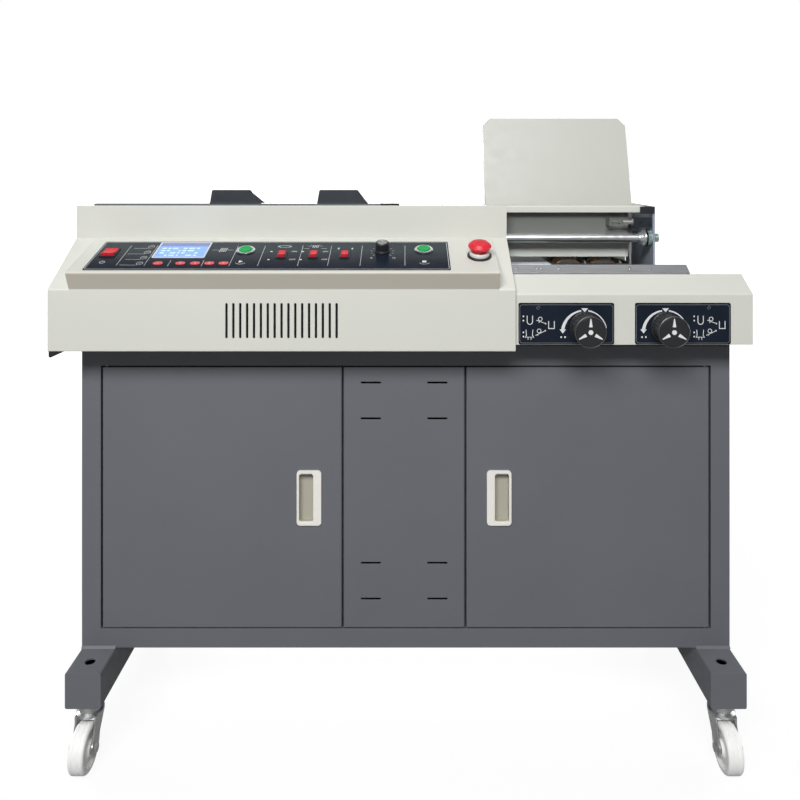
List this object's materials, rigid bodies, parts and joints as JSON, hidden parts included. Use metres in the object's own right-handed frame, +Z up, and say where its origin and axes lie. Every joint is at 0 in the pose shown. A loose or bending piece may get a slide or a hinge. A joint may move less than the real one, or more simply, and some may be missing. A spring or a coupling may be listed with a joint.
{
  "type": "perfect binding machine",
  "caption": "Floor-standing perfect binding machine: console, clamp carriage, glue, milling and cover stations on a two-door cabinet with swivel casters.",
  "frame": {"origin": "middle of the machine's footprint, on the floor", "axes": "+X to the operator's right, +Y towards the back, +Z up"},
  "size_m": [1.181, 0.497, 1.107],
  "materials": {
    "frame_paint": "fine satin powder coat, blue grey",
    "cover_paint": "fine satin powder coat, warm light grey",
    "dark_paint": "dark grey stoved paint",
    "overlay_film": "gloss black printed film",
    "display": "backlit pale blue display",
    "lamp_lens": "clear lamp lens",
    "black_plastic": "moulded black plastic",
    "pale_plastic": "pale moulded plastic",
    "red_plastic": "moulded red plastic",
    "green_plastic": "moulded green plastic",
    "pull_plastic": "moulded beige plastic",
    "wheel_nylon": "white cast nylon",
    "zinc": "bright zinc plate",
    "rail_steel": "brushed steel",
    "chromed_shaft": "ground and chromed",
    "tank_casting": "dark anodised casting",
    "bright_sheet": "bright sheet",
    "roller_steel": "steel with dried glue"
  },
  "bodies": {
    "root": {"foot_beams": "frame_paint", "caster_stems": "zinc", "cabinet_shell": "frame_paint", "front_frame": "frame_paint", "centre_panel": "frame_paint", "hinge_pins": "zinc", "bed_plate": "dark_paint", "left_cover": "cover_paint", "right_cover": "cover_paint", "rear_cover": "cover_paint", "mains_inlet": "black_plastic", "control_overlays": "overlay_film", "lcd_window": "display", "status_lamps": "lamp_lens", "membrane_keys": "red_plastic", "console_bezels": "black_plastic", "estop_collar": "pale_plastic", "table_rail": "rail_steel", "shaft_brackets": "dark_paint", "guide_shafts": "chromed_shaft", "home_sensor": "zinc", "glue_tank": "tank_casting", "chute_plate": "bright_sheet", "milling_motor": "dark_paint", "nip_table": "rail_steel", "guide_rail": "dark_paint"},
    "left_door": {"left_door": "frame_paint", "left_pull": "pull_plastic"},
    "right_door": {"right_door": "frame_paint", "right_pull": "pull_plastic"},
    "caster_fork_1": {"caster_fork_1": "zinc"},
    "caster_wheel_1": {"caster_wheel_1": "wheel_nylon"},
    "caster_fork_2": {"caster_fork_2": "zinc"},
    "caster_wheel_2": {"caster_wheel_2": "wheel_nylon"},
    "caster_fork_3": {"caster_fork_3": "zinc"},
    "caster_wheel_3": {"caster_wheel_3": "wheel_nylon"},
    "caster_fork_4": {"caster_fork_4": "zinc"},
    "caster_wheel_4": {"caster_wheel_4": "wheel_nylon"},
    "power_rocker": {"power_rocker": "red_plastic"},
    "rocker_1": {"rocker_1": "red_plastic"},
    "rocker_2": {"rocker_2": "red_plastic"},
    "rocker_3": {"rocker_3": "red_plastic"},
    "start_button": {"start_button": "green_plastic"},
    "stop_button": {"stop_button": "green_plastic"},
    "estop_head": {"estop_head": "red_plastic"},
    "force_knob": {"force_knob": "black_plastic"},
    "glue_knob_1": {"glue_knob_1": "black_plastic"},
    "glue_knob_2": {"glue_knob_2": "black_plastic"},
    "scraper_1": {"scraper_1": "rail_steel"},
    "scraper_2": {"scraper_2": "rail_steel"},
    "carriage": {"carriage_frame": "cover_paint", "backrest": "cover_paint"},
    "front_jaw": {"front_jaw": "cover_paint"},
    "glue_roller_1": {"glue_roller_1": "roller_steel"},
    "glue_roller_2": {"glue_roller_2": "roller_steel"},
    "milling_cutter": {"milling_cutter": "rail_steel"},
    "nip_plate_front": {"nip_plate_front": "rail_steel"},
    "nip_plate_rear": {"nip_plate_rear": "rail_steel"},
    "wing_1": {"wing_1": "dark_paint"},
    "wing_2": {"wing_2": "dark_paint"}
  },
  "joints": [
    {"name": "left_door_hinge", "type": "hinge", "parent": "root", "child": "left_door", "pos_m": [-0.5195, -0.139, 0.4295], "axis": [0, 0, -1], "range_deg": [0, 110]},
    {"name": "right_door_hinge", "type": "hinge", "parent": "root", "child": "right_door", "pos_m": [0.5355, -0.139, 0.4295], "axis": [0, 0, 1], "range_deg": [0, 110]},
    {"name": "caster_swivel_1", "type": "hinge", "parent": "root", "child": "caster_fork_1", "pos_m": [-0.5315, -0.1815, 0.095], "axis": [0, 0, 1], "continuous": true},
    {"name": "caster_roll_1", "type": "hinge", "parent": "caster_fork_1", "child": "caster_wheel_1", "pos_m": [-0.5315, -0.207, 0.0375], "axis": [1, 0, 0], "continuous": true},
    {"name": "caster_swivel_2", "type": "hinge", "parent": "root", "child": "caster_fork_2", "pos_m": [0.5475, -0.1815, 0.095], "axis": [0, 0, 1], "continuous": true},
    {"name": "caster_roll_2", "type": "hinge", "parent": "caster_fork_2", "child": "caster_wheel_2", "pos_m": [0.5475, -0.207, 0.0375], "axis": [1, 0, 0], "continuous": true},
    {"name": "caster_swivel_3", "type": "hinge", "parent": "root", "child": "caster_fork_3", "pos_m": [-0.5315, 0.2185, 0.095], "axis": [0, 0, 1], "continuous": true},
    {"name": "caster_roll_3", "type": "hinge", "parent": "caster_fork_3", "child": "caster_wheel_3", "pos_m": [-0.5315, 0.193, 0.0375], "axis": [1, 0, 0], "continuous": true},
    {"name": "caster_swivel_4", "type": "hinge", "parent": "root", "child": "caster_fork_4", "pos_m": [0.5475, 0.2185, 0.095], "axis": [0, 0, 1], "continuous": true},
    {"name": "caster_roll_4", "type": "hinge", "parent": "caster_fork_4", "child": "caster_wheel_4", "pos_m": [0.5475, 0.193, 0.0375], "axis": [1, 0, 0], "continuous": true},
    {"name": "power_rocker_tilt", "type": "hinge", "parent": "root", "child": "power_rocker", "pos_m": [-0.507, -0.15797, 0.85816], "axis": [1, 0, 0], "range_deg": [0, 16]},
    {"name": "rocker_1_tilt", "type": "hinge", "parent": "root", "child": "rocker_1", "pos_m": [-0.207, -0.16456, 0.85582], "axis": [1, 0, 0], "range_deg": [0, 16]},
    {"name": "rocker_2_tilt", "type": "hinge", "parent": "root", "child": "rocker_2", "pos_m": [-0.152, -0.16456, 0.85582], "axis": [1, 0, 0], "range_deg": [0, 16]},
    {"name": "rocker_3_tilt", "type": "hinge", "parent": "root", "child": "rocker_3", "pos_m": [-0.098, -0.16456, 0.85582], "axis": [1, 0, 0], "range_deg": [0, 16]},
    {"name": "start_button_press", "type": "slide", "parent": "root", "child": "start_button", "axis": [0, 0.334, -0.9426], "range_m": [0, 0.004], "stiffness_N_per_m": 250},
    {"name": "stop_button_press", "type": "slide", "parent": "root", "child": "stop_button", "axis": [0, 0.334, -0.9426], "range_m": [0, 0.004], "stiffness_N_per_m": 250},
    {"name": "estop_press", "type": "slide", "parent": "root", "child": "estop_head", "axis": [0, 0.334, -0.9426], "range_m": [0, 0.004], "stiffness_N_per_m": 600},
    {"name": "force_knob_turn", "type": "hinge", "parent": "root", "child": "force_knob", "pos_m": [-0.033, -0.15559, 0.86643], "axis": [0, -0.334, 0.9426], "range_deg": [-135, 135]},
    {"name": "glue_knob_1_turn", "type": "hinge", "parent": "root", "child": "glue_knob_1", "pos_m": [0.308, -0.225, 0.742], "axis": [0, -1, 0], "range_deg": [-135, 135]},
    {"name": "scraper_1_lift", "type": "slide", "parent": "root", "child": "scraper_1", "axis": [0, 0, 1], "range_m": [-0.0015, 0.0015]},
    {"name": "glue_knob_2_turn", "type": "hinge", "parent": "root", "child": "glue_knob_2", "pos_m": [0.4435, -0.225, 0.742], "axis": [0, -1, 0], "range_deg": [-135, 135]},
    {"name": "scraper_2_lift", "type": "slide", "parent": "root", "child": "scraper_2", "axis": [0, 0, 1], "range_m": [-0.0015, 0.0015]},
    {"name": "carriage_travel", "type": "slide", "parent": "root", "child": "carriage", "axis": [-1, 0, 0], "range_m": [0, 0.56]},
    {"name": "jaw_clamp", "type": "slide", "parent": "carriage", "child": "front_jaw", "axis": [0, 1, 0], "range_m": [0, 0.043]},
    {"name": "glue_roller_1_spin", "type": "hinge", "parent": "root", "child": "glue_roller_1", "pos_m": [0.314, -0.028, 0.811], "axis": [0, 1, 0], "continuous": true},
    {"name": "glue_roller_2_spin", "type": "hinge", "parent": "root", "child": "glue_roller_2", "pos_m": [0.38, -0.028, 0.811], "axis": [0, 1, 0], "continuous": true},
    {"name": "milling_spin", "type": "hinge", "parent": "root", "child": "milling_cutter", "pos_m": [0.128, -0.028, 0.8], "axis": [0, 0, 1], "continuous": true},
    {"name": "nip_front_close", "type": "slide", "parent": "root", "child": "nip_plate_front", "axis": [0, 1, 0], "range_m": [0, 0.016]},
    {"name": "nip_rear_close", "type": "slide", "parent": "root", "child": "nip_plate_rear", "axis": [0, 1, 0], "range_m": [-0.016, 0]},
    {"name": "wing_1_slide", "type": "slide", "parent": "root", "child": "wing_1", "axis": [1, 0, 0], "range_m": [-0.19, 0.085]},
    {"name": "wing_2_slide", "type": "slide", "parent": "root", "child": "wing_2", "axis": [1, 0, 0], "range_m": [-0.085, 0.02]}
  ],
  "couplings": [
    {"joint": "scraper_1_lift", "follows": "glue_knob_1_turn", "m_per_rad": 0.00063662},
    {"joint": "scraper_2_lift", "follows": "glue_knob_2_turn", "m_per_rad": 0.00063662},
    {"joint": "glue_roller_2_spin", "follows": "glue_roller_1_spin", "ratio": -1},
    {"joint": "nip_rear_close", "follows": "nip_front_close", "ratio": -1}
  ]
}
